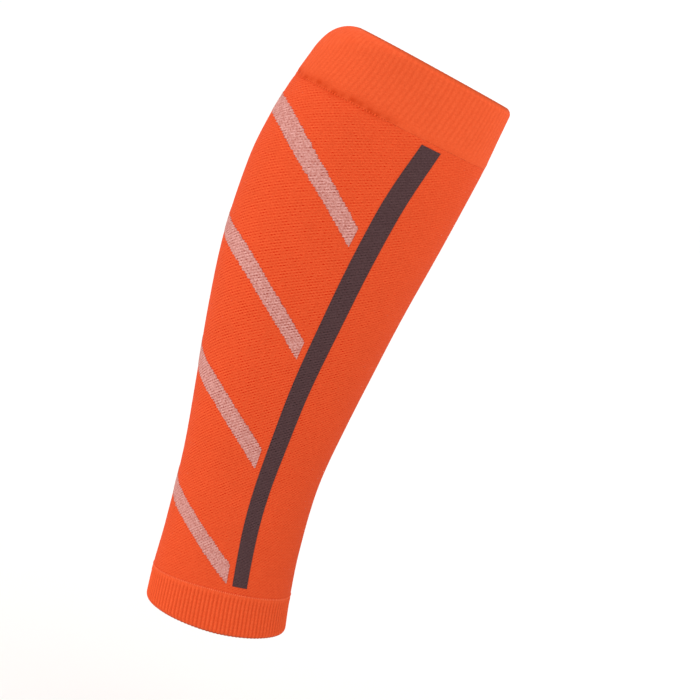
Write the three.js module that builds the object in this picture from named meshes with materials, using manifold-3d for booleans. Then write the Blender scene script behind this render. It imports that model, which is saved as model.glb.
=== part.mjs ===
// A footless calf compression sleeve, filled out as it sits on the leg.
// It is knitted as one tube: a wide ribbed cuff under the knee, the wall over the calf,
// and a narrower ribbed cuff above the ankle. A dark stripe runs down the outer side,
// and four pale heather stripes climb from it round the back of the calf.
// +Z runs up the leg, +X points to the shin, -X to the calf and -Y to the outer side.
// Sizes are in millimetres, and angles in degrees from the shin towards the outer side.

import * as THREE from 'three';
import Module from 'manifold-3d';

const wasm = await Module();
wasm.setup();

// Knitted walls
const bodyWall = 1.8;
const cuffWall = 2.2;
const seamGap = 0.3;
const ovalPower = 2.25; // 2 is an ellipse, more is flatter at the sides

// Heights along the leg, from a level just under the fullest part of the calf
const hemHeight = -225.5;
const hemSag = 2.8; // the hem hangs this much lower at the inner and outer sides
const bottomSeam = -204.4;
const topSeam = 70;
const rimHeight = 106.6;

// Ribbed cuffs, both knitted on the same needles
const ribCount = 104;
const ribDepth = 0.5;
const hemRoll = 3.3; // radius of the edge that turns in
const hemRollBack = 4.5;
const rimRoll = 4;
const rimRollBack = 22.4; // behind the knee the rim turns in with a broad round
const lipTurn = 80; // degrees that each edge turns in

// Stripes, knitted into the face of the wall
const inlay = 0.6;
const inlayBed = 0.9;
const stripeHalfAngle = 6.5;
const stripeTop = 67;
const stripeBottom = -199;

// The leg's sections, ankle end first. Each is an oval at its height, moved towards the shin
// by shift, leaning by tilt, and half as deep front to back and half as wide as given.
const sections = [
  { height: -230, shift: 13.2, tilt: -5.8, halfDeep: 41.1, halfWide: 33.8 },
  { height: -207, shift: 9.0, tilt: -7.3, halfDeep: 40.0, halfWide: 32.8 },
  { height: -180, shift: 5.8, tilt: -7.0, halfDeep: 38.7, halfWide: 31.7 },
  { height: -140, shift: 1.6, tilt: -5.8, halfDeep: 39.3, halfWide: 32.6 },
  { height: -100, shift: -0.9, tilt: -3.7, halfDeep: 44.2, halfWide: 37.2 },
  { height: -60, shift: -3.0, tilt: -1.2, halfDeep: 50.4, halfWide: 43.0 },
  { height: -20, shift: -4.0, tilt: 1.0, halfDeep: 55.6, halfWide: 47.8 },
  { height: 20, shift: -2.0, tilt: 3.0, halfDeep: 59.0, halfWide: 51.1 },
  { height: 45, shift: 0.8, tilt: 4.4, halfDeep: 59.3, halfWide: 51.3 },
  { height: 70, shift: 4.7, tilt: 6.0, halfDeep: 58.3, halfWide: 50.2 },
  { height: 90, shift: 8.0, tilt: 7.2, halfDeep: 56.6, halfWide: 48.7 },
  { height: 106.6, shift: 8.9, tilt: 7.6, halfDeep: 57.0, halfWide: 48.2 },
];

// Middle of the dark stripe, ankle end first
const stripeRoute = [
  { height: -200, angle: 72.0 },
  { height: -165, angle: 73.4 },
  { height: -125, angle: 72.2 },
  { height: -85, angle: 71.4 },
  { height: -30, angle: 67.0 },
  { height: 30, angle: 65.2 },
  { height: 68, angle: 61.2 },
];

// Pale stripes, top one first: height of the middle line at four angles round the calf.
// Each starts at the first angle and ends just past the back, and is as tall as given.
const paleStripes = [
  {
    name: 'diagonal_stripe_1',
    tall: 11.7,
    route: [
      { angle: 77, height: 7.5 },
      { angle: 112, height: 29.2 },
      { angle: 150, height: 48.0 },
      { angle: 188, height: 58.0 },
    ],
  },
  {
    name: 'diagonal_stripe_2',
    tall: 11.6,
    route: [
      { angle: 81, height: -61.0 },
      { angle: 110, height: -42.8 },
      { angle: 142, height: -23.6 },
      { angle: 188, height: -6.5 },
    ],
  },
  {
    name: 'diagonal_stripe_3',
    tall: 12.4,
    route: [
      { angle: 84.5, height: -127.3 },
      { angle: 114, height: -110.6 },
      { angle: 142, height: -96.0 },
      { angle: 188, height: -80.0 },
    ],
  },
  {
    name: 'diagonal_stripe_4',
    tall: 10.2,
    route: [
      { angle: 84, height: -194.2 },
      { angle: 114, height: -179.9 },
      { angle: 142, height: -166.4 },
      { angle: 188, height: -151.5 },
    ],
  },
];

// Fineness of the facets
const outerSides = 64;
const innerSides = 48;
const outerRows = 17;
const innerRows = 12;
const cuffInnerSides = 52;
const stripeSteps = 26;
const paleSteps = 14;

// Colours of the yarns
const orangeYarn = 0xf4592b;
const ribYarn = 0xf65f31;
const darkYarn = 0x54413f;
const paleYarn = 0xd6988f;

const rad = THREE.MathUtils.degToRad;

// A smooth curve through a table's rows, each row's slope coming from its two neighbours
function readTable(table, key, value) {
  const last = table.length - 1;
  let k = 0;
  while (k < last - 1 && value > table[k + 1][key]) {
    k += 1;
  }
  const low = table[k];
  const high = table[k + 1];
  const step = high[key] - low[key];
  const t = (value - low[key]) / step;
  const slope = (n, column) => {
    const before = table[Math.max(n - 1, 0)];
    const after = table[Math.min(n + 1, last)];
    return (after[column] - before[column]) / (after[key] - before[key]);
  };
  const row = {};
  for (const column of Object.keys(low)) {
    const rest = 2 * t ** 3 - 3 * t ** 2;
    const start = (t ** 3 - 2 * t ** 2 + t) * step * slope(k, column);
    const end = (t ** 3 - t ** 2) * step * slope(k + 1, column);
    row[column] = low[column] * (1 + rest) - high[column] * rest + start + end;
  }
  return row;
}

// A point of the leg's form, lifted off its surface
function skinPoint(angle, height, lift) {
  const section = readTable(sections, 'height', height);
  const across = Math.cos(rad(angle));
  const aside = Math.sin(rad(angle));
  const deep = Math.abs(across / (section.halfDeep + lift)) ** ovalPower;
  const wide = Math.abs(aside / (section.halfWide + lift)) ** ovalPower;
  const reach = (deep + wide) ** (-1 / ovalPower);
  const forward = reach * across;
  const x = section.shift + forward * Math.cos(rad(section.tilt));
  const z = height - forward * Math.sin(rad(section.tilt));
  return new THREE.Vector3(x, -reach * aside, z);
}

// Angles that part a section's edge into equal lengths
function evenAngles(count, height) {
  const fine = 720;
  const travelled = [0];
  let before = skinPoint(0, height, 0);
  for (let n = 1; n <= fine; n += 1) {
    const point = skinPoint((360 * n) / fine, height, 0);
    travelled.push(travelled[n - 1] + point.distanceTo(before));
    before = point;
  }
  const angles = [];
  let n = 0;
  for (let k = 0; k < count; k += 1) {
    const wanted = (travelled[fine] * k) / count;
    while (travelled[n + 1] < wanted) {
      n += 1;
    }
    const part = (wanted - travelled[n]) / (travelled[n + 1] - travelled[n]);
    angles.push((360 * (n + part)) / fine);
  }
  return angles;
}

// How far round to the back a point is, from 1 at the back to 0 at the given reach
function backShare(angle, reach) {
  const away = Math.abs(180 - angle);
  return away < reach ? Math.cos(rad((90 * away) / reach)) ** 2 : 0;
}

// A closed geometry from points and triangles, facing out
function closedGeometry(points, triangles) {
  let volume = 0;
  const crossed = new THREE.Vector3();
  for (let n = 0; n < triangles.length; n += 3) {
    crossed.crossVectors(points[triangles[n + 1]], points[triangles[n + 2]]);
    volume += points[triangles[n]].dot(crossed);
  }
  const order = [...triangles];
  if (volume < 0) {
    order.reverse();
  }
  const geometry = new THREE.BufferGeometry();
  geometry.setFromPoints(points);
  geometry.setIndex(order);
  return geometry;
}

// A closed loop of rings, each joined to the next and the last to the first.
// Neighbouring rings may have different numbers of points.
function loopGeometry(rings) {
  const points = rings.flat();
  const triangles = [];
  let start = 0;
  rings.forEach((ring, n) => {
    const next = rings[(n + 1) % rings.length];
    const nextStart = n + 1 < rings.length ? start + ring.length : 0;
    let here = 0;
    let there = 0;
    while (here < ring.length || there < next.length) {
      const a = start + (here % ring.length);
      const b = nextStart + (there % next.length);
      if ((here + 1) / ring.length <= (there + 1) / next.length) {
        here += 1;
        triangles.push(a, start + (here % ring.length), b);
      } else {
        there += 1;
        triangles.push(a, nextStart + (there % next.length), b);
      }
    }
    start += ring.length;
  });
  return closedGeometry(points, triangles);
}

// A curved slab between two lifts, over a patch of the leg's form
function slabGeometry(steps, lanes, place, low, high) {
  const points = [];
  for (const lift of [low, high]) {
    for (let n = 0; n <= steps; n += 1) {
      for (let m = 0; m <= lanes; m += 1) {
        const { angle, height } = place(n / steps, m / lanes);
        points.push(skinPoint(angle, height, lift));
      }
    }
  }
  const layer = (steps + 1) * (lanes + 1);
  const at = (n, m, top) => n * (lanes + 1) + m + (top ? layer : 0);
  const triangles = [];
  const quad = (a, b, c, d) => triangles.push(a, b, c, a, c, d);
  for (let n = 0; n < steps; n += 1) {
    for (let m = 0; m < lanes; m += 1) {
      quad(at(n, m, 1), at(n, m + 1, 1), at(n + 1, m + 1, 1), at(n + 1, m, 1));
      quad(at(n, m, 0), at(n + 1, m, 0), at(n + 1, m + 1, 0), at(n, m + 1, 0));
    }
    quad(at(n, 0, 0), at(n, 0, 1), at(n + 1, 0, 1), at(n + 1, 0, 0));
    quad(at(n, lanes, 0), at(n + 1, lanes, 0), at(n + 1, lanes, 1), at(n, lanes, 1));
  }
  for (let m = 0; m < lanes; m += 1) {
    quad(at(0, m, 0), at(0, m + 1, 0), at(0, m + 1, 1), at(0, m, 1));
    quad(at(steps, m, 0), at(steps, m, 1), at(steps, m + 1, 1), at(steps, m + 1, 0));
  }
  return closedGeometry(points, triangles);
}

// Cutting of one closed geometry by others
function toManifold(geometry) {
  const mesh = new wasm.Mesh({
    numProp: 3,
    vertProperties: new Float32Array(geometry.attributes.position.array),
    triVerts: new Uint32Array(geometry.index.array),
  });
  return new wasm.Manifold(mesh);
}

function cutAway(geometry, cutters) {
  let solid = toManifold(geometry);
  for (const cutter of cutters) {
    solid = solid.subtract(toManifold(cutter));
  }
  const mesh = solid.getMesh();
  const cut = new THREE.BufferGeometry();
  cut.setAttribute('position', new THREE.BufferAttribute(new Float32Array(mesh.vertProperties), 3));
  cut.setIndex(new THREE.BufferAttribute(new Uint32Array(mesh.triVerts), 1));
  return cut;
}

// Calf wall
function bodyRing(sides, share, lift) {
  const low = bottomSeam + seamGap / 2;
  const high = topSeam - seamGap / 2;
  const height = low + (high - low) * share;
  return evenAngles(sides, height).map((angle) => skinPoint(angle, height, lift));
}

function bodyGeometry() {
  const rings = [];
  for (let n = 0; n <= outerRows; n += 1) {
    rings.push(bodyRing(outerSides, n / outerRows, 0));
  }
  for (let n = innerRows; n >= 0; n -= 1) {
    rings.push(bodyRing(innerSides, n / innerRows, -bodyWall));
  }
  return loopGeometry(rings);
}

// Ribbed cuffs: a straight stretch from the seam, then an edge that turns in.
// The way is 1 for a cuff that ends at the top and -1 for one that ends at the bottom.
function cuffGeometry({ way, seam, edgeAt, rollAt, level, turns, liningTurns }) {
  const ribAngles = evenAngles(2 * ribCount, level);
  const liningAngles = evenAngles(cuffInnerSides, level);
  const rib = (n, depth) => (n % 2 ? -depth : 0);
  const straight = (angles, depth, rise, lift) => {
    const height = seam + way * (seamGap / 2 + rise);
    return angles.map((angle, n) => skinPoint(angle, height, lift + rib(n, depth)));
  };
  const rolled = (angles, depth, turn, inward) =>
    angles.map((angle, n) => {
      const roll = rollAt(angle);
      const lift = -roll + (roll - inward) * Math.cos(rad(turn));
      const drop = roll - (roll - inward) * Math.sin(rad(turn));
      return skinPoint(angle, edgeAt(angle) - way * drop, lift + rib(n, depth));
    });
  return loopGeometry([
    straight(ribAngles, ribDepth / 2, 0, -0.3),
    straight(ribAngles, ribDepth, 2.5, 0.1),
    ...turns.map((turn) => rolled(ribAngles, ribDepth, turn, 0)),
    rolled(ribAngles, 0, lipTurn, 0),
    rolled(liningAngles, 0, lipTurn, cuffWall),
    ...liningTurns.map((turn) => rolled(liningAngles, 0, turn, cuffWall)),
    straight(liningAngles, 0, 0, -cuffWall),
  ]);
}

function topCuffGeometry() {
  return cuffGeometry({
    way: 1,
    seam: topSeam,
    edgeAt: () => rimHeight,
    rollAt: (angle) => rimRoll + (rimRollBack - rimRoll) * backShare(angle, 90),
    level: (topSeam + rimHeight) / 2,
    turns: [0, 30, 55],
    liningTurns: [48, 16],
  });
}

function bottomCuffGeometry() {
  return cuffGeometry({
    way: -1,
    seam: bottomSeam,
    edgeAt: (angle) => hemHeight - hemSag * Math.sin(rad(angle)) ** 2,
    rollAt: (angle) => hemRoll + (hemRollBack - hemRoll) * backShare(angle, 120),
    level: (bottomSeam + hemHeight) / 2,
    turns: [0, 45],
    liningTurns: [25],
  });
}

// Stripes and their beds in the wall. The margin widens a bed beyond its stripe.
function sideStripeSlab(margin, low, high) {
  const place = (along, across) => {
    const bottom = stripeBottom - margin;
    const height = bottom + (stripeTop + margin - bottom) * along;
    const half = stripeHalfAngle + marginAngle(margin, height);
    const middle = readTable(stripeRoute, 'height', height).angle;
    return { angle: middle + half * (2 * across - 1), height };
  };
  return slabGeometry(stripeSteps, 2, place, low, high);
}

function paleStripeSlab({ route, tall }, margin, low, high) {
  const place = (along, across) => {
    const first = route[0];
    const last = route[route.length - 1];
    const start = first.angle - marginAngle(margin, first.height);
    const end = last.angle + marginAngle(margin, last.height);
    const angle = start + (end - start) * along;
    const middle = readTable(route, 'angle', angle).height;
    return { angle, height: middle + (tall / 2 + 1.3 * margin) * (2 * across - 1) };
  };
  return slabGeometry(paleSteps, 2, place, low, high);
}

function marginAngle(margin, height) {
  return THREE.MathUtils.radToDeg(margin / readTable(sections, 'height', height).halfWide);
}

// Assembly
const sleeve = new THREE.Group();
sleeve.name = 'calf_sleeve';

function addPiece(name, geometry, color, roughness) {
  const material = new THREE.MeshStandardMaterial({ color, roughness, metalness: 0 });
  geometry.computeVertexNormals();
  const mesh = new THREE.Mesh(geometry, material);
  mesh.name = name;
  sleeve.add(mesh);
}

const beds = [
  sideStripeSlab(seamGap, -inlayBed, 2),
  ...paleStripes.map((stripe) => paleStripeSlab(stripe, seamGap, -inlayBed, 2)),
];
addPiece('sleeve_body', cutAway(bodyGeometry(), beds), orangeYarn, 0.85);
addPiece('top_cuff', topCuffGeometry(), ribYarn, 0.85);
addPiece('bottom_cuff', bottomCuffGeometry(), ribYarn, 0.85);
addPiece('side_stripe', sideStripeSlab(0, -inlay, 0), darkYarn, 0.8);
for (const stripe of paleStripes) {
  addPiece(stripe.name, paleStripeSlab(stripe, 0, -inlay, 0), paleYarn, 0.6);
}

export default sleeve;
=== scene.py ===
import math

import bpy
import numpy as np
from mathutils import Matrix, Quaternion, Vector


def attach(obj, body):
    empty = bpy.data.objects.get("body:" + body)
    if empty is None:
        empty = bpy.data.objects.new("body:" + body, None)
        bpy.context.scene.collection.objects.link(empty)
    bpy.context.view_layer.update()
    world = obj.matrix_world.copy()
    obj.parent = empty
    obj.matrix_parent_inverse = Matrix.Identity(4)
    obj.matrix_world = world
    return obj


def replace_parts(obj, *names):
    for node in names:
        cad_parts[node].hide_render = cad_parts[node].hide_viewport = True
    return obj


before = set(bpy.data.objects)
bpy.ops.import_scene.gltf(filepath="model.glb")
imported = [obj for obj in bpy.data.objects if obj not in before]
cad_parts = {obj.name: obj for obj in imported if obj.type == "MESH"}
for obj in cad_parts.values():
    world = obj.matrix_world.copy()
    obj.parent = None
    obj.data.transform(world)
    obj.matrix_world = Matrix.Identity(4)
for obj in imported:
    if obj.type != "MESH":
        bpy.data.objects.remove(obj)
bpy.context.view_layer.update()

mm = 0.001
print("frame loaded with", len(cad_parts), "nodes")

# camera at the photograph's angle; the leg leans in the picture, so the camera is rolled
cameraView = {
    "place": (0.0, -1.25, 0.095),
    "aim": (0.02959, 0.0, -0.05693),
    "roll": 21.164,  # degrees
    "lens": 115.96,  # mm on a 36 mm sensor
}


def placeCamera(view):
    lens = bpy.data.cameras.new("camera")
    lens.lens = view["lens"]
    lens.sensor_width = 36
    camera = bpy.data.objects.new("camera", lens)
    bpy.context.collection.objects.link(camera)
    camera.location = view["place"]
    look = (Vector(view["aim"]) - camera.location).to_track_quat("-Z", "Y")
    roll = Quaternion((0, 0, 1), math.radians(view["roll"]))
    camera.rotation_euler = (look @ roll).to_euler()
    bpy.context.scene.camera = camera


placeCamera(cameraView)
print("camera placed")


def linearColour(hexText):
    parts = [int(hexText[at:at + 2], 16) / 255 for at in (1, 3, 5)]
    return [p / 12.92 if p <= 0.04045 else ((p + 0.055) / 1.055) ** 2.4 for p in parts] + [1.0]


# adds a node; feeds go to its inputs, each a plain value, a socket, or a node whose first output is used
def addNode(tree, kind, feeds=None, **settings):
    node = tree.nodes.new(kind)
    for name, value in settings.items():
        setattr(node, name, value)
    for name, value in (feeds or {}).items():
        if isinstance(value, bpy.types.Node):
            value = value.outputs[0]
        if isinstance(value, bpy.types.NodeSocket):
            tree.links.new(value, node.inputs[name])
        else:
            node.inputs[name].default_value = value
    return node


# The leg that fills the sleeve, ankle end first. Millimetres, leans in degrees, shifts towards the shin.
legForm = {
    "height": [-230, -207, -180, -140, -100, -60, -20, 20, 45, 70, 90, 106.6],
    "shift": [13.2, 9.0, 5.8, 1.6, -0.9, -3.0, -4.0, -2.0, 0.8, 4.7, 8.0, 8.9],
    "lean": [-5.8, -7.3, -7.0, -5.8, -3.7, -1.2, 1.0, 3.0, 4.4, 6.0, 7.2, 7.6],
    "halfDeep": [41.1, 40.0, 38.7, 39.3, 44.2, 50.4, 55.6, 59.0, 59.3, 58.3, 56.6, 57.0],
    "halfWide": [33.8, 32.8, 31.7, 32.6, 37.2, 43.0, 47.8, 51.1, 51.3, 50.2, 48.7, 48.2],
    "ovalPower": 2.25,
    "slack": 0.28,  # how far the knit wanders off the leg's smooth form
    # it wanders in three waves: share of the slack, waves round the leg, mm of height to a radian, start
    "slackWaves": [(0.5, 2, 31, 0), (0.3, 5, -17, 1), (0.2, 9, 11, 2)],
}
# how the knit divides it: stitches round the leg, rows between the seams, and the seams themselves
knitPlan = {
    "wales": 208,
    "courses": 157,  # 1.75 mm each, a pair of real rows
    "bottomSeam": -204.4,
    "topSeam": 70.0,
    "wall": 1.8,
}
# the middle of the dark stripe, by height; the wales run along it and spread a little where the leg narrows
stripeRoute = {
    "height": [-200, -165, -125, -85, -30, 30, 68],
    "angle": [70.7, 73.7, 72.5, 71.4, 67.25, 64.85, 60.85],
    "breadth": [1.0, 1.065, 1.09, 1.05, 1.0, 0.965, 0.955],
}


# reads a smooth curve through the keys' values
def smoothRead(keys, values, at):
    keys, values = np.asarray(keys, float), np.asarray(values, float)
    slope = np.gradient(values, keys)
    slope[1:-1] = (values[2:] - values[:-2]) / (keys[2:] - keys[:-2])
    at = np.clip(at, keys[0], keys[-1])
    k = np.clip(np.searchsorted(keys, at) - 1, 0, len(keys) - 2)
    step = keys[k + 1] - keys[k]
    t = (at - keys[k]) / step
    ease = t * t * (3 - 2 * t)
    bend = step * (t * (1 - t) ** 2 * slope[k] - t * t * (1 - t) * slope[k + 1])
    return values[k] * (1 - ease) + values[k + 1] * ease + bend


# a point of the knit: 0 degrees at the shin, 90 on the outer side, 180 at the back; in metres
def skinPoint(angle, height, lift):
    turn = np.radians(angle)
    c, s = np.cos(turn), np.sin(turn)
    wander = sum(
        share * np.sin(waves * turn + height / rise + start)
        for share, waves, rise, start in legForm["slackWaves"]
    )
    lift = lift + legForm["slack"] * wander
    deep = smoothRead(legForm["height"], legForm["halfDeep"], height) + lift
    wide = smoothRead(legForm["height"], legForm["halfWide"], height) + lift
    power = legForm["ovalPower"]
    reach = (np.abs(c / deep) ** power + np.abs(s / wide) ** power) ** (-1 / power)
    lean = np.radians(smoothRead(legForm["height"], legForm["lean"], height))
    x = smoothRead(legForm["height"], legForm["shift"], height) + reach * c * np.cos(lean)
    return np.stack((x, -reach * s + 0 * x, height - reach * c * np.sin(lean)), -1) * mm


# share of the way round at each angle, for a ladder of heights, so that wales can be evenly spaced
ladder = np.linspace(legForm["height"][0], legForm["height"][-1], 91)  # a rung every 3.7 mm
dial = np.linspace(0, 360, 1441)  # quarter degrees
rings = skinPoint(dial[None, :], ladder[:, None], 0.0)
wayRound = np.cumsum(np.linalg.norm(np.diff(rings, axis=1), axis=2), axis=1)
wayRound = np.hstack((np.zeros((len(ladder), 1)), wayRound / wayRound[:, -1:]))
angleOfShare = np.array([np.interp(dial / 360, row, dial) for row in wayRound])


# reads such a table between its rungs, and says how many whole turns are left over
def readLadder(table, at, height):
    at, height = np.broadcast_arrays(np.asarray(at, float), np.asarray(height, float))
    turns = np.floor(at)
    column = (at - turns) * (len(dial) - 1)
    row = (np.clip(height, ladder[0], ladder[-1]) - ladder[0]) / (ladder[1] - ladder[0])
    c = np.minimum(column.astype(int), len(dial) - 2)
    r = np.minimum(row.astype(int), len(ladder) - 2)
    column, row = column - c, row - r
    low = table[r, c] * (1 - column) + table[r, c + 1] * column
    high = table[r + 1, c] * (1 - column) + table[r + 1, c + 1] * column
    return low * (1 - row) + high * row, turns


# wale 0 is the middle of the dark stripe, and wales count towards the back
def waleAngle(wale, height):
    middle = smoothRead(stripeRoute["height"], stripeRoute["angle"], height)
    start, _ = readLadder(wayRound, middle / 360, height)
    angle, turns = readLadder(angleOfShare, start + wale / knitPlan["wales"], height)
    return angle + 360 * turns


# 1 at the back of the leg, falling to 0 at reach degrees from it
def backShare(angle, reach):
    off = np.abs(angle % 360 - 180)
    return np.where(off < reach, np.cos(np.radians(90 * off / reach)) ** 2, 0.0)


rowTall = (knitPlan["topSeam"] - knitPlan["bottomSeam"]) / knitPlan["courses"]


def courseHeight(course):
    return knitPlan["bottomSeam"] + rowTall * course


def fabricPlace(wale, course):
    height = courseHeight(course)
    angle = waleAngle(wale, height)
    return angle, height + 0 * angle


# plain mesh from points, faces and per-corner knit coordinates, with values kept on its points
def knitMesh(name, points, faces, corners, marks):
    mesh = bpy.data.meshes.new(name)
    mesh.from_pydata(points.tolist(), [], faces.tolist())
    mesh.polygons.foreach_set("use_smooth", np.ones(len(faces), bool))
    mesh.uv_layers.new(name="knit").data.foreach_set("uv", corners.astype(np.float32).ravel())
    for label, values in marks.items():
        layer = mesh.attributes.new(label, "FLOAT", "POINT")
        layer.data.foreach_set("value", np.asarray(values, np.float32).ravel())
    piece = bpy.data.objects.new(name, mesh)
    bpy.context.collection.objects.link(piece)
    return piece


# A tube wall as one closed surface: rows run up the outside and back down the inside. A split wall's
# faces are triangles, cut along the lines in which the loops climb.
def tubeWall(name, points, waleSteps, rowSteps, marks, split=False):
    rows, columns = points.shape[:2]
    r, c = np.meshgrid(np.arange(rows), np.arange(columns), indexing="ij")
    steps = ((0, 0), (1, 0), (1, 1), (0, 1))  # rows up and columns on, corner by corner
    faces = np.stack([(r + up) % rows * columns + (c + on) % columns for up, on in steps], -1)
    corners = np.stack([np.stack((waleSteps[c + on], rowSteps[r + up]), -1) for up, on in steps], 2)
    faces, corners = faces.reshape(-1, 4), corners.reshape(-1, 4, 2)
    if split:
        halves = ((0, 1, 3), (1, 2, 3))
        faces, corners = (np.concatenate([each[:, half] for half in halves]) for each in (faces, corners))
    flat = points.reshape(-1, 3)
    a, b, d = (flat[faces[:, k]] for k in (0, 1, 2))
    if np.einsum("ij,ij->i", a, np.cross(b, d)).sum() < 0:
        faces, corners = faces[:, ::-1], corners[:, ::-1]
    return knitMesh(name, flat, faces, corners, marks)


# a node tree for geometry, with one named input for each size
def newTree(name, inputs):
    tree = bpy.data.node_groups.new(name, "GeometryNodeTree")
    tree.interface.new_socket("Geometry", in_out="INPUT", socket_type="NodeSocketGeometry")
    tree.interface.new_socket("Geometry", in_out="OUTPUT", socket_type="NodeSocketGeometry")
    for label, kind in inputs.items():
        tree.interface.new_socket(label, in_out="INPUT", socket_type="NodeSocket" + kind)
    return tree, addNode(tree, "NodeGroupInput").outputs, addNode(tree, "NodeGroupOutput")


# runs a tree on a piece and keeps the result as its plain mesh
def applyTree(piece, tree, values):
    modifier = piece.modifiers.new(tree.name, "NODES")
    modifier.node_group = tree
    for socket in tree.interface.items_tree:
        if socket.in_out == "INPUT" and socket.name in values:
            modifier[socket.identifier] = values[socket.name]
    seen = piece.evaluated_get(bpy.context.evaluated_depsgraph_get())
    made, old = bpy.data.meshes.new_from_object(seen), piece.data
    piece.modifiers.clear()
    piece.data = made
    bpy.data.meshes.remove(old)
    for label in ("wale", "course", "face", "rib", "out"):  # only the trees read these
        if label in made.attributes:
            made.attributes.remove(made.attributes[label])
    made.name = piece.name
    print(piece.name, "made,", len(made.polygons), "faces")


# a wave in nodes: level + swing * the cosine, or the sine, of pace * phase
def addWave(tree, phase, pace, swing, level, shape="COSINE"):
    turn = addNode(tree, "ShaderNodeMath", {0: phase, 1: pace}, operation="MULTIPLY")
    wave = addNode(tree, "ShaderNodeMath", {0: turn}, operation=shape)
    return addNode(tree, "ShaderNodeMath", {0: wave, 1: swing, 2: level}, operation="MULTIPLY_ADD")


# presses the knit in by a depth in mm, a little unevenly from patch to patch, as far as share lets it
def pressIn(tree, given, depth, share, patchesPerMetre):
    place = addNode(tree, "GeometryNodeInputPosition")
    tension = addNode(
        tree, "ShaderNodeTexNoise",
        {"Vector": place, "W": given["Seed"], "Scale": patchesPerMetre, "Detail": 2.0},
        noise_dimensions="4D",
    )
    total = addNode(
        tree, "ShaderNodeMath", {0: tension, 1: given["Unevenness"], 2: depth}, operation="MULTIPLY_ADD",
    )
    shared = addNode(tree, "ShaderNodeMath", {0: total, 1: share}, operation="MULTIPLY")
    inward = addNode(tree, "ShaderNodeMath", {0: shared, 1: -mm}, operation="MULTIPLY")
    normal = addNode(tree, "GeometryNodeInputNormal")
    move = addNode(tree, "ShaderNodeVectorMath", {0: normal, "Scale": inward}, operation="SCALE")
    moved = addNode(tree, "GeometryNodeSetPosition", {"Geometry": given["Geometry"], "Offset": move})
    return addNode(tree, "GeometryNodeRealizeInstances", {"Geometry": moved})


# The knit as real relief: small ridges of loops, each next wale half a row higher, with the gaps between.
def knitReliefTree():
    tree, given, result = newTree("knitRelief", {
        "Row depth": "Float", "Wale depth": "Float", "Unevenness": "Float", "Seed": "Float",
        "Face knit": "Material", "Back knit": "Material",
    })
    wale, course, face = (
        addNode(tree, "GeometryNodeInputNamedAttribute", {"Name": label}, data_type="FLOAT")
        for label in ("wale", "course", "face")
    )
    climb = addNode(tree, "ShaderNodeMath", {0: wale, 1: 0.5, 2: course}, operation="MULTIPLY_ADD")
    depth = 0.0
    for phase, label in ((climb, "Row depth"), (wale, "Wale depth")):
        dip = addWave(tree, phase, 2 * math.pi, 0.5, 0.5)
        depth = addNode(
            tree, "ShaderNodeMath", {0: dip, 1: given[label], 2: depth}, operation="MULTIPLY_ADD",
        )
    whole = pressIn(tree, given, depth, face, 160.0)  # patches of about 6 mm
    faced = addNode(tree, "GeometryNodeSetMaterial", {"Geometry": whole, "Material": given["Face knit"]})
    # face is 0 on the back of the wall, and never under 0.4 on its front
    back = addNode(tree, "FunctionNodeCompare", {0: face, 1: 0.3}, operation="LESS_THAN")
    backed = addNode(
        tree, "GeometryNodeSetMaterial",
        {"Geometry": faced, "Selection": back, "Material": given["Back knit"]},
    )
    tree.links.new(backed.outputs[0], result.inputs[0])
    return tree


# ribs of the cuffs: broad rounded ridges with narrow valleys between
def ribbingTree():
    tree, given, result = newTree("ribbing", {
        "Rib depth": "Float", "Ridge breadth": "Float", "Unevenness": "Float", "Seed": "Float",
        "Rib knit": "Material",
    })
    rib, share = (
        addNode(tree, "GeometryNodeInputNamedAttribute", {"Name": label}, data_type="FLOAT")
        for label in ("rib", "ribShare")
    )
    ridge = addWave(tree, rib, 2 * math.pi, 0.499, 0.501)  # never quite 0, because of the power
    broad = addNode(tree, "ShaderNodeMath", {0: ridge, 1: given["Ridge breadth"]}, operation="POWER")
    valley = addNode(tree, "ShaderNodeMath", {0: 1.0, 1: broad}, operation="SUBTRACT")
    depth = addNode(tree, "ShaderNodeMath", {0: valley, 1: given["Rib depth"]}, operation="MULTIPLY")
    whole = pressIn(tree, given, depth, share, 120.0)  # patches of about 8 mm
    clad = addNode(tree, "GeometryNodeSetMaterial", {"Geometry": whole, "Material": given["Rib knit"]})
    tree.links.new(clad.outputs[0], result.inputs[0])
    return tree


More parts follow.
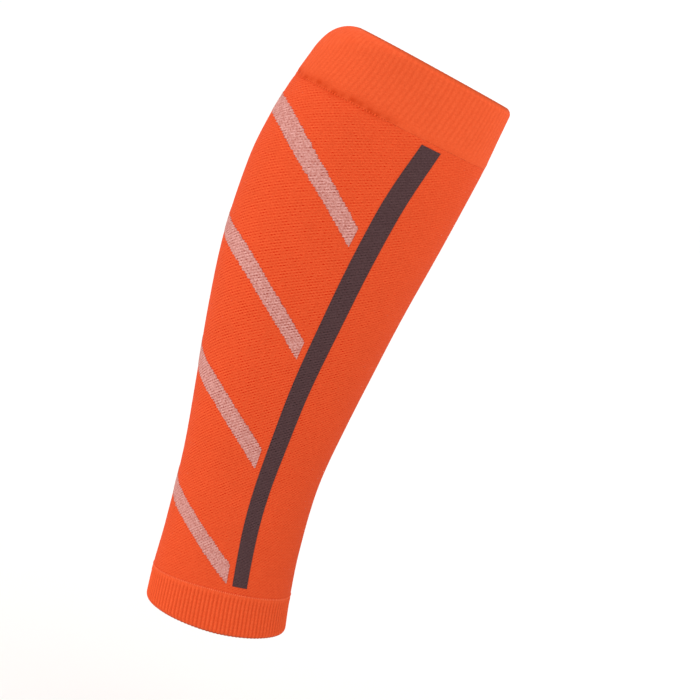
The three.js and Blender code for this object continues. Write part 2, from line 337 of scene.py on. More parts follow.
# link stitches along a seam, one to each wale, lying on the knit
def linkStitchTree():
    tree, given, result = newTree("linkStitches", {
        "Count": "Int", "Across": "Float", "Along leg": "Float", "Thick": "Float", "Seed": "Int",
        "Thread": "Material",
    })
    line = addNode(tree, "GeometryNodeMeshToCurve", {"Mesh": given["Geometry"]})
    spaced = addNode(tree, "GeometryNodeResampleCurve", {"Curve": line, "Count": given["Count"]})
    bead = addNode(tree, "GeometryNodeMeshUVSphere", {"Segments": 8, "Rings": 5, "Radius": mm})
    size = addNode(
        tree, "ShaderNodeCombineXYZ", {0: given["Across"], 1: given["Along leg"], 2: given["Thick"]},
    )
    stitch = addNode(tree, "GeometryNodeTransform", {"Geometry": bead, "Scale": size})
    out = addNode(tree, "GeometryNodeInputNamedAttribute", {"Name": "out"}, data_type="FLOAT_VECTOR")
    stood = addNode(tree, "FunctionNodeAlignRotationToVector", {"Vector": out}, axis="Z")
    tangent = addNode(tree, "GeometryNodeInputTangent")
    turned = addNode(
        tree, "FunctionNodeAlignRotationToVector", {"Rotation": stood, "Vector": tangent},
        axis="X", pivot_axis="Z",
    )
    loft = addNode(
        tree, "FunctionNodeRandomValue", {2: 0.75, 3: 1.15, "Seed": given["Seed"]}, data_type="FLOAT",
    )
    sewn = addNode(tree, "GeometryNodeInstanceOnPoints", {
        "Points": spaced, "Instance": stitch, "Rotation": turned, "Scale": loft.outputs[1],
    })
    whole = addNode(tree, "GeometryNodeRealizeInstances", {"Geometry": sewn})
    clad = addNode(tree, "GeometryNodeSetMaterial", {"Geometry": whole, "Material": given["Thread"]})
    tree.links.new(clad.outputs[0], result.inputs[0])
    return tree


# Looks of the knits. A loop is drawn 1.1 to 1.7 mm wide, two or three times the real one, or it
# would be finer than a pixel. "gap" is the painted shade between loops and ribs, "other" what a single
# leg of a loop may take, "narrow" how thin the gaps look, "crease" the painted shade in the crease at a
# seam, and "fold" the painted shade along a cuff's rolled edge.
knitLooks = {
    # nylon and elastane, plain knitted: matt saturated orange, finely dotted by the gaps of its loops
    "orangePlainKnitNylon": {
        "yarn": "#ee6034", "other": "#e6582e", "gap": "#cc2300", "crease": "#c6330b", "fold": "#c2380f",
        "ribbed": False, "gapShare": 0.66, "narrow": 1.2,
        "roughness": 0.84, "specular": 0.06, "bump": 0.45, "uneven": 0.06,
    },
    # the back of the same knit: rows of purl loops, duller where the bare elastane shows
    "orangePurlSideNylon": {
        "yarn": "#e0603a", "other": "#d65430", "gap": "#b54022", "crease": "#a8371a", "fold": "#a8371a",
        "ribbed": False, "gapShare": 0.6, "narrow": 1.5,
        "roughness": 0.9, "specular": 0.1, "bump": 0.6, "uneven": 0.06,
    },
    # the same yarn knitted one on, one off: springy ribs with dark valleys
    "orangeRibKnitNylon": {
        "yarn": "#f26135", "other": "#eb582d", "gap": "#c63a14", "crease": "#c63a14", "fold": "#964326",
        "ribbed": True, "gapShare": 0.56, "narrow": 2.0,
        "roughness": 0.84, "specular": 0.06, "bump": 0.35, "uneven": 0.045,
    },
    # the same rib stretched wide over the calf: the valleys open and lose their shade
    "orangeStretchedRibNylon": {
        "yarn": "#ed5f34", "other": "#e7582e", "gap": "#cd431c", "crease": "#c93b11", "fold": "#b44822",
        "ribbed": True, "gapShare": 0.26, "narrow": 1.6,
        "roughness": 0.84, "specular": 0.06, "bump": 0.35, "uneven": 0.045,
    },
    # the thread that links cuff and tube: the same nylon, a little paler where it lies in loose beads
    "orangeLinkThread": {
        "yarn": "#fa7a52", "other": "#f6724a", "gap": "#e65a30", "crease": "#c2380f", "fold": "#c2380f",
        "ribbed": False, "gapShare": 0.3, "narrow": 1.5,
        "roughness": 0.8, "specular": 0.08, "bump": 0.2, "uneven": 0.08,
    },
    # dyed dark plum grey and plain knitted: matt, almost without a gleam
    "plumPlainKnitNylon": {
        "yarn": "#5c4345", "other": "#523a3c", "gap": "#332122", "crease": "#3a2a29", "fold": "#3a2a29",
        "ribbed": False, "gapShare": 0.62, "narrow": 1.2,
        "roughness": 0.85, "specular": 0.08, "bump": 0.45, "uneven": 0.06,
    },
    # pale grey yarn plated over the orange: pinkish heather, every loop a little different
    "pinkGreyHeatherKnit": {
        "yarn": "#ebb0a8", "other": "#cd897f", "gap": "#984439", "crease": "#a95a4e", "fold": "#a95a4e",
        "ribbed": False, "gapShare": 0.68, "narrow": 1.2,
        "roughness": 0.8, "specular": 0.08, "bump": 0.5, "uneven": 0.04,
    },
}
# How open the gaps between loops are. A row goes from one value to another, with the openness at each: by
# the tension and by chance, then by the place on the leg in metres, as they fade towards ankle, knee and
# shin.
knitGaps = {
    "tension": (0.0, 1.0, -0.4, 2.4),
    "chance": (0.0, 1.0, 0.15, 1.85),
    "ankle": (-0.2, -0.12, 0.5, 1.0),
    "knee": (-0.05, 0.07, 1.15, 0.75),
    "shin": (0.015, 0.05, 1.0, 0.55),
    "meanShade": 0.3,  # of the gaps' pattern; closing gaps even out to it
}
# sizes of what is seen in the yarn, in metres
yarnGrain = {
    "tension": 0.003,  # patches in which the gaps open and close
    "dye": 0.018,  # slow drift of the shade
    "fibre": 0.0004,
    "bump": 0.00025,
}
# how a loop stands up, and what its form does to the shade and the gloss
loopForm = {
    "slant": 0.9,  # rows that a leg leans over the breadth of a wale
    "rowSwing": 0.3,
    "legSwing": 0.4,
    "lowShade": 0.3,
    "gapShade": 0.9,
    "rubbed": 0.12,  # how much smoother the tops are than the hollows
    "fuzz": 0.3,  # how far loose fibres stand up
}


# two slanting legs in each cell of the knit map make a loop's V
def loopLoft(tree, cell):
    across = addNode(tree, "ShaderNodeMath", {0: cell.outputs[0]}, operation="FRACT")
    offMiddle = addNode(tree, "ShaderNodeMath", {0: across, 1: 0.5}, operation="SUBTRACT")
    side = addNode(tree, "ShaderNodeMath", {0: offMiddle}, operation="ABSOLUTE")
    slant = addNode(
        tree, "ShaderNodeMath", {0: side, 1: loopForm["slant"], 2: cell.outputs[1]},
        operation="MULTIPLY_ADD",
    )
    row = addWave(tree, slant, 2 * math.pi, loopForm["rowSwing"], loopForm["rowSwing"], "SINE")
    return addWave(tree, side, 2 * math.pi, loopForm["legSwing"], row, "SINE")


# the valleys of a rib, on every second wale, growing out of the seam
def ribValleys(tree, cell, narrow):
    valley = addWave(tree, cell.outputs[0], math.pi, -0.5, 0.5)
    sharp = addNode(tree, "ShaderNodeMath", {0: valley, 1: narrow}, operation="POWER")
    grown = addNode(tree, "ShaderNodeAttribute", attribute_name="ribShare")
    return addNode(tree, "ShaderNodeMath", {0: sharp, 1: grown.outputs["Fac"]}, operation="MULTIPLY")


# The gaps between loops lie half a row higher on each next wale, and so read as fine lines that climb
# towards the shin. They open and close with the tension, and are never quite alike.
def loopGaps(tree, cell, place, narrow):
    climb, fall = (
        addNode(
            tree, "ShaderNodeMath", {0: cell.outputs[0], 1: lean, 2: cell.outputs[1]},
            operation="MULTIPLY_ADD",
        )
        for lean in (0.5, -0.5)
    )
    line = addWave(tree, climb, 2 * math.pi, 0.5, 0.5)
    dot = addWave(tree, fall, 2 * math.pi, 0.25, 0.75)
    deep = addNode(tree, "ShaderNodeMath", {0: line, 1: dot}, operation="MULTIPLY")
    sharp = addNode(tree, "ShaderNodeMath", {0: deep, 1: narrow}, operation="POWER")
    tension = addNode(tree, "ShaderNodeTexNoise", {
        "Vector": place, "Scale": 1 / yarnGrain["tension"], "Detail": 2.0,
    })
    lattice = addNode(tree, "ShaderNodeCombineXYZ", {0: climb, 1: fall})
    nearest = addNode(tree, "ShaderNodeVectorMath", {0: lattice, 1: (0.5, 0.5, 0.5)}, operation="ADD")
    pinhole = addNode(tree, "ShaderNodeVectorMath", {0: nearest}, operation="FLOOR")
    chance = addNode(tree, "ShaderNodeTexWhiteNoise", {"Vector": pinhole}, noise_dimensions="2D")
    x, _, z = addNode(tree, "ShaderNodeSeparateXYZ", {0: place}).outputs
    openness = 1.0
    for label, source in (("tension", tension), ("chance", chance), ("ankle", z), ("knee", z), ("shin", x)):
        near, far, atNear, atFar = knitGaps[label]
        factor = addNode(tree, "ShaderNodeMapRange", {
            "Value": source, "From Min": near, "From Max": far, "To Min": atNear, "To Max": atFar,
        })
        openness = addNode(tree, "ShaderNodeMath", {0: factor, 1: openness}, operation="MULTIPLY")
    mean = knitGaps["meanShade"]
    off = addNode(tree, "ShaderNodeMath", {0: sharp, 1: mean}, operation="SUBTRACT")
    return addNode(tree, "ShaderNodeMath", {0: off, 1: openness, 2: mean}, operation="MULTIPLY_ADD")


def knitMaterial(name):
    look = knitLooks[name]
    material = bpy.data.materials.new(name)
    material.use_nodes = True
    tree = material.node_tree
    shader = tree.nodes["Principled BSDF"]
    shader.inputs["Specular IOR Level"].default_value = look["specular"]
    place = addNode(tree, "ShaderNodeTexCoord").outputs["Object"]
    knit = addNode(tree, "ShaderNodeUVMap", uv_map="knit")
    cell = addNode(tree, "ShaderNodeSeparateXYZ", {0: knit})
    loft = loopLoft(tree, cell)
    if look["ribbed"]:
        gaps = ribValleys(tree, cell, look["narrow"])
    else:
        gaps = loopGaps(tree, cell, place, look["narrow"])
    # each leg takes its own shade of the yarn
    legs = addNode(tree, "ShaderNodeVectorMath", {0: knit, "Scale": 2.0}, operation="SCALE")
    stitch = addNode(tree, "ShaderNodeVectorMath", {0: legs}, operation="FLOOR")
    chance = addNode(tree, "ShaderNodeTexWhiteNoise", {"Vector": stitch}, noise_dimensions="2D")
    yarn = addNode(tree, "ShaderNodeMix", {
        0: chance, 6: linearColour(look["yarn"]), 7: linearColour(look["other"]),
    }, data_type="RGBA")
    # what lies low or in a gap is in shadow
    lowShade, gapShade = loopForm["lowShade"], loopForm["gapShade"]
    low = addNode(tree, "ShaderNodeMath", {0: loft, 1: -lowShade, 2: lowShade}, operation="MULTIPLY_ADD")
    hollow = addNode(tree, "ShaderNodeMath", {0: gaps, 1: gapShade, 2: low}, operation="MULTIPLY_ADD")
    shadow = addNode(
        tree, "ShaderNodeMath", {0: hollow, 1: look["gapShare"]}, operation="MULTIPLY", use_clamp=True,
    )
    cloth = addNode(tree, "ShaderNodeMix", {
        0: shadow, 6: yarn.outputs[2], 7: linearColour(look["gap"]),
    }, data_type="RGBA")
    # painted shade: in the crease at the top seam, and along the cuffs' rolled edges
    for mark in ("crease", "fold"):
        share = addNode(tree, "ShaderNodeAttribute", attribute_name=mark)
        cloth = addNode(tree, "ShaderNodeMix", {
            0: share.outputs["Fac"], 6: cloth.outputs[2], 7: linearColour(look[mark]),
        }, data_type="RGBA")
    # the dye drifts slowly over the cloth
    drift = addNode(tree, "ShaderNodeTexNoise", {
        "Vector": place, "Scale": 1 / yarnGrain["dye"], "Detail": 4.0, "Roughness": 0.72,
    })
    dye = addNode(
        tree, "ShaderNodeMath", {0: drift, 1: 2 * look["uneven"], 2: 1 - look["uneven"]},
        operation="MULTIPLY_ADD",
    )
    shade = addNode(tree, "ShaderNodeHueSaturation", {"Value": dye, "Color": cloth.outputs[2]})
    tree.links.new(shade.outputs[0], shader.inputs["Base Color"])
    # the tops of the loops are rubbed a little smoother, and loose fibres lie over them
    rubbed = loopForm["rubbed"]
    rough = addNode(
        tree, "ShaderNodeMath", {0: loft, 1: -rubbed, 2: look["roughness"] + rubbed / 2},
        operation="MULTIPLY_ADD",
    )
    tree.links.new(rough.outputs[0], shader.inputs["Roughness"])
    fibre = addNode(tree, "ShaderNodeTexNoise", {
        "Vector": place, "Scale": 1 / yarnGrain["fibre"], "Detail": 2.0,
    })
    fuzzy = addNode(
        tree, "ShaderNodeMath", {0: fibre, 1: loopForm["fuzz"], 2: loft}, operation="MULTIPLY_ADD",
    )
    relief = addNode(tree, "ShaderNodeBump", {
        "Strength": look["bump"], "Distance": yarnGrain["bump"], "Height": fuzzy,
    })
    tree.links.new(relief.outputs[0], shader.inputs["Normal"])
    return material


knits = {name: knitMaterial(name) for name in knitLooks}
knitRelief, ribbing, linkStitches = knitReliefTree(), ribbingTree(), linkStitchTree()
print("knits ready:", ", ".join(knits))

# the calf tube; sizes in mm
bodyKnit = {
    "rowDepth": 0.06,
    "unevenness": 0.05,
    "seed": 3.0,
    "columnsPerWale": 1,
    "stepsPerRow": 2,
    "innerRows": 56,
    "topPinch": 0.35,  # how far the seams draw the knit in
    "bottomPinch": 0.05,
    "pinchReach": 3.2,
    "calm": 0.6,  # share of the relief that is lost at a seam
    "calmReach": 2.0,
    "flat": (0.358, 0.274),  # metres, slit down the shin and laid out, as stretched on the leg
    "flatArea": 0.082,  # square metres
}
# the top seam lies in a soft crease, all round the back of the leg and gone before the dark stripe
# its shade is painted into the knit's colour: a soft band with darker strokes, and faint beyond it
topCrease = {
    "reach": 102,  # degrees to each side of the back
    "fade": 24,
    "middle": 1.0,  # mm over the seam
    "wander": 0.5,
    "wanderPace": 4.3,  # degrees to a radian of its wave
    "above": 4.0,  # how far the soft shade spreads to each side
    "below": 2.2,
    "core": 1.4,
    "strokePaces": (1.3, 3.7),  # two waves that break the core into strokes
    "strokeLevel": 0.55,
    "strokeSwing": 0.8,
    "softShade": 0.4,
    "coreShade": 0.5,
    "seamShade": 0.1,  # where the crease is gone
}


def creaseShare(angle):
    part = np.clip((topCrease["reach"] - np.abs(angle % 360 - 180)) / topCrease["fade"], 0, 1)
    return part * part * (3 - 2 * part)


# painted shade of the knit in the crease, uneven along it, by how far over the seam it lies
def creaseShade(angle, over):
    share = creaseShare(angle)
    off = over - topCrease["middle"] - topCrease["wander"] * np.sin(angle / topCrease["wanderPace"])
    soft = np.exp(-(off / np.where(off > 0, topCrease["above"], topCrease["below"])) ** 2)
    quick, slow = topCrease["strokePaces"]
    beat = np.sin(angle / quick) * np.sin(angle / slow + 1)
    strokes = np.clip(topCrease["strokeLevel"] + topCrease["strokeSwing"] * beat, 0, 1)
    core = np.exp(-(off / topCrease["core"]) ** 2) * strokes
    plain = topCrease["seamShade"] * np.exp(-(over / topCrease["above"]) ** 2) * (over > 0)
    return share * (topCrease["softShade"] * soft + topCrease["coreShade"] * core) + (1 - share) * plain


def buildBody(plan):
    wales = np.arange(0, knitPlan["wales"], 1 / plan["columnsPerWale"])
    up = np.arange(knitPlan["courses"] * plan["stepsPerRow"] + 1) / plan["stepsPerRow"]
    down = np.linspace(knitPlan["courses"], 0, plan["innerRows"])
    rows = np.concatenate((up, down))
    face = np.concatenate((np.ones(len(up)), np.zeros(len(down))))
    angle, height = fabricPlace(wales[None, :], rows[:, None])
    toTop, toBottom = knitPlan["topSeam"] - height, height - knitPlan["bottomSeam"]
    pinch = plan["topPinch"] * creaseShare(angle) * np.exp(-(toTop / plan["pinchReach"]) ** 2)
    pinch = pinch + plan["bottomPinch"] * np.exp(-(toBottom / plan["pinchReach"]) ** 2)
    lift = np.where(face[:, None] > 0.5, -pinch, -knitPlan["wall"])
    kept = 1 - plan["calm"] * np.exp(-(np.minimum(toTop, toBottom) / plan["calmReach"]) ** 2)
    # the crease mark is painted shade in the crease below the top seam
    marks = {
        "crease": creaseShade(angle, -toTop) * face[:, None],
        "wale": np.broadcast_to(wales[None, :], angle.shape),
        "course": np.broadcast_to(rows[:, None], angle.shape),
        "face": face[:, None] * kept,
    }
    waleSteps = np.append(wales, knitPlan["wales"])
    skin = skinPoint(angle, height, lift)
    body = tubeWall("calfTube", skin, waleSteps, np.append(rows, 0.0), marks, split=True)
    applyTree(body, knitRelief, {
        "Row depth": plan["rowDepth"], "Wale depth": 0.0, "Unevenness": plan["unevenness"],
        "Seed": plan["seed"], "Face knit": knits["orangePlainKnitNylon"],
        "Back knit": knits["orangePurlSideNylon"],
    })
    return body


body = buildBody(bodyKnit)
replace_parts(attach(body, "root"), "sleeve_body")

# stripes knitted into the face, stitch by stitch; sizes in mm
stripeKnit = {
    "rowDepth": 0.07,
    "waleDepth": 0.06,
    "unevenness": 0.03,
    "proud": 0.2,  # over the tube's face
    "sunk": 0.35,
    "darkLegs": (-8, 7),  # from the shin side to the back, two legs to a wale
    "darkTop": 67.0,
    "darkBottom": -199.6,
    "backAngle": 188.0,  # degrees, where the pale stripes end
    "jagged": 0.15,  # rows by which a pale stripe's edge may stray
    "seed": 11,
}
# Each pale stripe climbs towards the back: by angle, where its middle is on the leg and how tall it is, and
# the legs of orange between it and the dark stripe.
paleStripes = {
    "diagonal_stripe_1": {
        "gapLegs": 5, "angle": [77, 112, 150, 188],
        "middle": [6.5, 29.1, 48.5, 54.4], "tall": [11.8, 11.8, 11.6, 9.2],
    },
    "diagonal_stripe_2": {
        "gapLegs": 5, "angle": [81, 110, 142, 188],
        "middle": [-62.1, -42.8, -23.8, -10.8], "tall": [11.6, 11.6, 11.4, 8.8],
    },
    "diagonal_stripe_3": {
        "gapLegs": 6, "angle": [84.5, 114, 142, 188],
        "middle": [-127.7, -111.2, -96.0, -79.6], "tall": [12.2, 12.2, 12.2, 12.2],
    },
    "diagonal_stripe_4": {
        "gapLegs": 6, "angle": [84, 114, 142, 188],
        "middle": [-194.1, -180.0, -166.7, -151.8], "tall": [10.4, 10.4, 10.4, 10.4],
    },
}


# A panel of loop legs, half a wale wide and half a row tall, two by two faces each. Where spread is given,
# it says how much wider than on the tube a wale is, row by row.
def stitchPanel(name, legs, plan, knit, spread=None):
    quads = np.array([
        (2 * w + i, 2 * c + j) for w, c in sorted(legs) for i in (0, 1) for j in (0, 1)
    ])
    loop = quads[:, None, :] + np.array([(0, 0), (0, 1), (1, 1), (1, 0)])
    nodes, index = np.unique(loop.reshape(-1, 2), axis=0, return_inverse=True)
    top = index.reshape(-1, 4)
    count = len(nodes)
    edges = np.stack((top, np.roll(top, -1, axis=1)), -1).reshape(-1, 2)
    known = {(a, b) for a, b in edges.tolist()}
    rim = np.array([(a, b) for a, b in edges.tolist() if (b, a) not in known])
    sides = np.stack((rim[:, 1], rim[:, 0], rim[:, 0] + count, rim[:, 1] + count), -1)
    faces = np.vstack((top, top[:, ::-1] + count, sides))
    wale, course = nodes[:, 0] / 4, nodes[:, 1] / 4
    angle, height = fabricPlace(wale * spread(course) if spread else wale, course)
    points = np.vstack((
        skinPoint(angle, height, plan["proud"]), skinPoint(angle, height, -plan["sunk"]),
    ))
    knitPlaces = np.stack((np.tile(wale, 2), np.tile(course, 2)), -1)
    marks = {
        "wale": knitPlaces[:, 0], "course": knitPlaces[:, 1],
        "face": np.concatenate((np.ones(count), np.zeros(count))),
    }
    piece = knitMesh(name, points, faces, knitPlaces[faces.ravel()].reshape(-1, 4, 2), marks)
    applyTree(piece, knitRelief, {
        "Row depth": plan["rowDepth"], "Wale depth": plan["waleDepth"],
        "Unevenness": plan["unevenness"], "Seed": float(plan["seed"]),
        "Face knit": knits[knit], "Back knit": knits[knit],
    })
    return piece


# legs that meet at a corner alone are joined by one more
def joinCorners(legs):
    for w, c in sorted(legs):
        for side in (-1, 1):
            if (w + side, c + 1) in legs and (w, c + 1) not in legs and (w + side, c) not in legs:
                legs.add((w, c + 1))
    return legs


def darkLegs(plan):
    wales, rows = np.arange(*plan["darkLegs"])[:, None], np.arange(2 * knitPlan["courses"])[None, :]
    _, height = fabricPlace(wales / 2 + 0.25, rows / 2 + 0.25)
    inside = (height > plan["darkBottom"]) & (height < plan["darkTop"])
    return {(int(wales[i, 0]), int(rows[0, j])) for i, j in np.argwhere(inside)}


def darkSpread(course):
    return smoothRead(stripeRoute["height"], stripeRoute["breadth"], courseHeight(course))


def paleLegs(stripe, plan, chance):
    wales = np.arange(plan["darkLegs"][1] + stripe["gapLegs"], knitPlan["wales"])
    rows = np.arange(2 * knitPlan["courses"])
    angle, height = fabricPlace(wales[:, None] / 2 + 0.25, rows[None, :] / 2 + 0.25)
    middle = smoothRead(stripe["angle"], stripe["middle"], angle)
    half = smoothRead(stripe["angle"], stripe["tall"], angle) / 2
    stray = plan["jagged"] * rowTall * chance.uniform(-1, 1, (2, len(wales), 1))
    low, high = middle - half + stray[0], middle + half + stray[1]
    inside = (height > low) & (height < high) & (angle < plan["backAngle"])
    return joinCorners({(int(wales[i]), int(rows[j])) for i, j in np.argwhere(inside)})


chance = np.random.default_rng(stripeKnit["seed"])
stripes = [stitchPanel("darkStripe", darkLegs(stripeKnit), stripeKnit, "plumPlainKnitNylon", darkSpread)]
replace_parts(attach(stripes[0], "root"), "side_stripe")
for number, (node, stripe) in enumerate(paleStripes.items(), 1):
    piece = stitchPanel(
        "paleStripe%d" % number, paleLegs(stripe, stripeKnit, chance), stripeKnit, "pinkGreyHeatherKnit",
    )
    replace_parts(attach(piece, "root"), node)
    stripes.append(piece)
print("stripes knitted in:", len(stripes))

# the cuffs; mm and degrees. "roll" is how roundly the edge turns in, at the shin and at the back,
# "ribDrift" how far the ribs lean round the leg on the way to the edge, "paintedShadeArc" how far
# round the rolled edge shade is painted
topCuff = {
    "name": "topCuff", "node": "top_cuff", "way": 1, "edge": 106.6,
    "sag": 0.0, "roll": 4.0, "rollBack": 22.4, "rollReach": 90,
    "ribDepth": 0.14, "ridgeBreadth": 0.5, "ribDrift": -5.0, "knit": "orangeStretchedRibNylon",
    "pinch": 0.35, "pinchReach": 3.2, "ribStart": 0.5, "ribGrow": 7.0, "paintedShadeArc": 4.0, "seed": 5.0,
}
bottomCuff = {
    "name": "bottomCuff", "node": "bottom_cuff", "way": -1, "edge": -225.5,
    "sag": 2.8, "roll": 3.3, "rollBack": 4.5, "rollReach": 120,
    "ribDepth": 0.45, "ridgeBreadth": 0.8, "ribDrift": 0.0, "knit": "orangeRibKnitNylon",
    "pinch": 0.05, "pinchReach": 1.2, "ribStart": 0.3, "ribGrow": 2.2, "paintedShadeArc": 3.0, "seed": 8.0,
}
# what both have: a low welt beside the seam, and shares of the rib depth left on the lip and inside
# foldShade and foldFade: how strongly shade is painted along the rolled edge, and how it fades over the lip
cuffKnit = {
    "ribs": 104, "stepsPerRib": 8, "wall": 2.2, "lipTurn": 80.0, "unevenness": 0.06,
    "outerRows": 18, "rollRows": 18, "lipRows": 5, "innerRows": 8,
    "seamCrowding": 1.5,  # rows lie closer together near the seam
    "welt": 0.15, "weltMiddle": 2.4, "weltReach": 1.4,
    "lipShare": 0.3, "innerShare": 0.4,
    "foldShade": 1.35, "foldFade": 0.25,
}


def buildCuff(cuff, plan):
    way = cuff["way"]
    column = np.arange(plan["ribs"] * plan["stepsPerRib"]) / plan["stepsPerRib"]
    seam = knitPlan["topSeam"] if way > 0 else knitPlan["bottomSeam"]
    angle = waleAngle(column * knitPlan["wales"] / plan["ribs"], seam + 0 * column)
    edgeAngle = angle + cuff["ribDrift"]
    edge = cuff["edge"] - cuff["sag"] * np.sin(np.radians(edgeAngle)) ** 2
    roll = cuff["roll"] + (cuff["rollBack"] - cuff["roll"]) * backShare(edgeAngle, cuff["rollReach"])
    drawn = creaseShare(angle) if way > 0 else 1.0
    lip = math.radians(plan["lipTurn"])
    rows = []

    def addRow(lift, height, around, ribShare, fold=0.0, crease=0.0):
        rows.append([value + 0 * angle for value in (lift, height, around, ribShare, fold, crease)])

    # at goes from 0 at the seam to 1 where the edge begins to turn in
    def straightRow(at, inward, ribShare):
        height = seam + (edge - way * roll - seam) * at
        off = np.abs(height - seam)
        grown = np.clip((off - cuff["ribStart"]) / cuff["ribGrow"], 0, 1)
        lift, crease = -inward, 0.0
        if not inward:
            welt = plan["welt"] * np.exp(-((off - plan["weltMiddle"]) / plan["weltReach"]) ** 2)
            lift = welt - cuff["pinch"] * drawn * np.exp(-(off / cuff["pinchReach"]) ** 2)
            # painted shade in the crease above the top seam
            crease = creaseShade(angle, off) if way > 0 else 0.0
        addRow(lift, height, angle + cuff["ribDrift"] * at, ribShare * grown, crease=crease)

    def rolledRow(turn, inward, ribShare):
        drop = roll - (roll - inward) * np.sin(turn)
        # painted shade along the rolled edge, over the last stretch before the lip
        left = roll * (lip - turn) / cuff["paintedShadeArc"]
        fold = 0.0 if inward else np.clip(plan["foldShade"] * (1 - left), 0, 1)
        addRow(-roll + (roll - inward) * np.cos(turn), edge - way * drop, edgeAngle, ribShare, fold)

    for part in np.linspace(0, 1, plan["outerRows"], endpoint=False):
        straightRow(part ** plan["seamCrowding"], 0.0, 1.0)
    for part in np.linspace(0, 1, plan["rollRows"]):
        rolledRow(lip * part, 0.0, 1 - (1 - plan["innerShare"]) * part)
    # the lip's rounded end, a half circle from the outer face to the inner one; its painted shade fades
    half = plan["wall"] / 2
    for turn in np.linspace(0, math.pi, plan["lipRows"] + 2)[1:-1]:
        across, over = half - half * math.cos(turn), half * math.sin(turn)
        lift = -roll + (roll - across) * math.cos(lip) - over * math.sin(lip)
        drop = roll - (roll - across) * math.sin(lip) - over * math.cos(lip)
        addRow(lift, edge - way * drop, edgeAngle, plan["lipShare"], 1 - plan["foldFade"] * turn)
    for part in np.linspace(1, 0, plan["innerRows"], endpoint=False):
        rolledRow(lip * part, plan["wall"], plan["innerShare"])
    for at in np.linspace(1, 0, plan["innerRows"] + 1):
        straightRow(at, plan["wall"], plan["innerShare"])
    lift, height, around, ribShare, fold, crease = np.array(rows).swapaxes(0, 1)
    points = skinPoint(around, height, lift)
    rise = np.linalg.norm(np.diff(points[:, 0], axis=0, append=points[:1, 0]), axis=1)
    rowSteps = np.concatenate(((0.0,), np.cumsum(rise / (rowTall * mm))))
    waleSteps = np.append(column, plan["ribs"]) * knitPlan["wales"] / plan["ribs"]
    rib = np.broadcast_to(column[None, :], lift.shape)
    marks = {"rib": rib, "ribShare": ribShare, "fold": fold, "crease": crease}
    piece = tubeWall(cuff["name"], points, waleSteps, rowSteps, marks)
    applyTree(piece, ribbing, {
        "Rib depth": cuff["ribDepth"], "Ridge breadth": cuff["ridgeBreadth"],
        "Unevenness": plan["unevenness"], "Seed": cuff["seed"],
        "Rib knit": knits[cuff["knit"]],
    })
    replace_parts(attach(piece, "root"), cuff["node"])
    return piece


cuffs = [buildCuff(cuff, cuffKnit) for cuff in (topCuff, bottomCuff)]
print("cuffs made")

# link stitches that join the cuffs to the tube; half sizes in mm. "sink" is how deep they lie in the
# crease, "hidden" where there is none
seamStitches = {
    "topSeamStitches": {
        "atTop": True, "across": 0.42, "alongLeg": 0.7, "thick": 0.25, "sink": 0.42, "hidden": 0.32,
        "seed": 21, "thread": "orangeRibKnitNylon",
    },
    "bottomSeamStitches": {
        "atTop": False, "across": 0.4, "alongLeg": 0.6, "thick": 0.25, "sink": 0.02, "hidden": 0.0,
        "seed": 22, "thread": "orangeLinkThread",
    },
}
seamStepsPerWale = 4


def buildSeam(name, plan):
    count = knitPlan["wales"] * seamStepsPerWale
    wales = np.arange(count) / seamStepsPerWale
    level = knitPlan["topSeam"] if plan["atTop"] else knitPlan["bottomSeam"]
    angle = waleAngle(wales, level + 0 * wales)
    creased = creaseShare(angle) if plan["atTop"] else 1.0
    sink = plan["hidden"] + (plan["sink"] - plan["hidden"]) * creased
    points = skinPoint(angle, level, -sink)
    out = skinPoint(angle, level, 1.0 - sink) - points
    mesh = bpy.data.meshes.new(name)
    mesh.from_pydata(points.tolist(), [(k, (k + 1) % count) for k in range(count)], [])
    outLayer = mesh.attributes.new("out", "FLOAT_VECTOR", "POINT")
    outLayer.data.foreach_set("vector", out.astype(np.float32).ravel())
    piece = bpy.data.objects.new(name, mesh)
    bpy.context.collection.objects.link(piece)
    applyTree(piece, linkStitches, {
        "Count": knitPlan["wales"], "Across": plan["across"], "Along leg": plan["alongLeg"],
        "Thick": plan["thick"], "Seed": plan["seed"], "Thread": knits[plan["thread"]],
    })
    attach(piece, "root")
    return piece


seams = [buildSeam(name, plan) for name, plan in seamStitches.items()]
print("seams sewn")

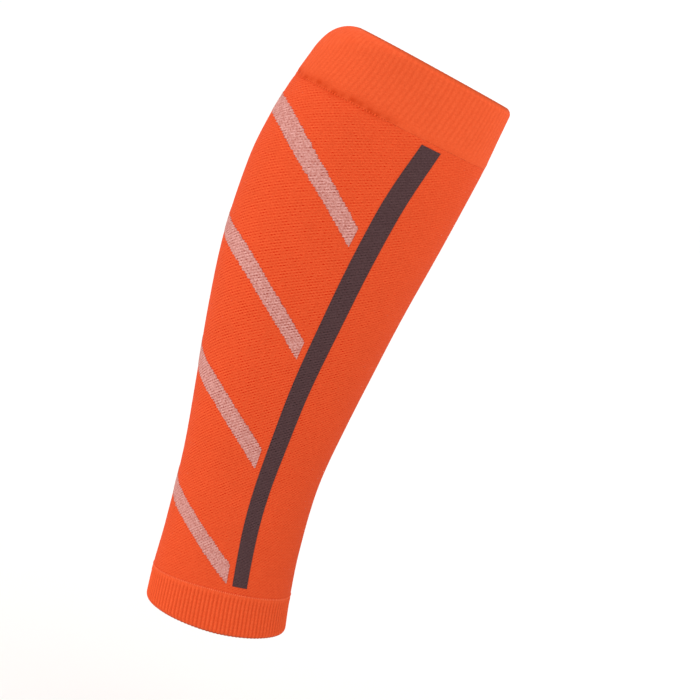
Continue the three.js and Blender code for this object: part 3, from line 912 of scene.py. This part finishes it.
# plain pale floor at the level of the sole, and soft studio light
studio = {
    "floorHeight": -0.32,
    "floorReach": 30.0,
    "floorColour": "#f7f7f5",
    "floorRoughness": 0.95,
    "floorSpecular": 0.1,
    "sky": 0.63,
    "skySeen": 1.1,  # what the camera sees behind the floor, so that the background stays white
    "lamps": {
        "key": {
            "kind": "SUN", "energy": 0.97, "spread": 70, "place": (-0.97, -0.46, 0.6), "aim": (0, 0, 0),
        },
        "top": {
            "kind": "SUN", "energy": 1.1, "spread": 120, "place": (-0.05, -0.1, 1), "aim": (0, 0, 0),
        },
        "fill": {
            "kind": "AREA", "energy": 0.085, "spread": 30, "place": (0.6, -0.05, 0.45),
            "aim": (0.05, 0, 0.17), "size": 0.25,
        },
    },
}


def buildStudio(plan):
    reach, low = plan["floorReach"], plan["floorHeight"]
    mesh = bpy.data.meshes.new("floor")
    corners = [(-reach, -reach, low), (reach, -reach, low), (reach, reach, low), (-reach, reach, low)]
    mesh.from_pydata(corners, [], [(0, 1, 2, 3)])
    floor = bpy.data.objects.new("floor", mesh)
    bpy.context.collection.objects.link(floor)
    paint = bpy.data.materials.new("matPaintedFloor")  # matt pale paint, no gleam
    paint.use_nodes = True
    shader = paint.node_tree.nodes["Principled BSDF"]
    shader.inputs["Base Color"].default_value = linearColour(plan["floorColour"])
    shader.inputs["Roughness"].default_value = plan["floorRoughness"]
    shader.inputs["Specular IOR Level"].default_value = plan["floorSpecular"]
    mesh.materials.append(paint)
    for name, light in plan["lamps"].items():
        lamp = bpy.data.lights.new(name, light["kind"])
        lamp.energy = light["energy"]
        if light["kind"] == "SUN":
            lamp.angle = math.radians(light["spread"])
        else:
            lamp.size, lamp.spread = light["size"], math.radians(light["spread"])
        holder = bpy.data.objects.new(name, lamp)
        bpy.context.collection.objects.link(holder)
        holder.location = light["place"]
        way = Vector(light["aim"]) - Vector(light["place"])
        holder.rotation_euler = way.to_track_quat("-Z", "Y").to_euler()
        holder.visible_camera = False
    world = bpy.data.worlds.new("studio")
    bpy.context.scene.world = world
    world.use_nodes = True
    tree = world.node_tree
    sky = tree.nodes["Background"]
    sky.inputs["Color"].default_value = (1, 1, 1, 1)
    ray = addNode(tree, "ShaderNodeLightPath")
    strength = addNode(tree, "ShaderNodeMath", {
        0: ray.outputs["Is Camera Ray"], 1: plan["skySeen"] - plan["sky"], 2: plan["sky"],
    }, operation="MULTIPLY_ADD")
    tree.links.new(strength.outputs[0], sky.inputs["Strength"])
    bpy.context.scene.view_settings.view_transform = "Standard"


buildStudio(studio)
print("floor and lights placed")
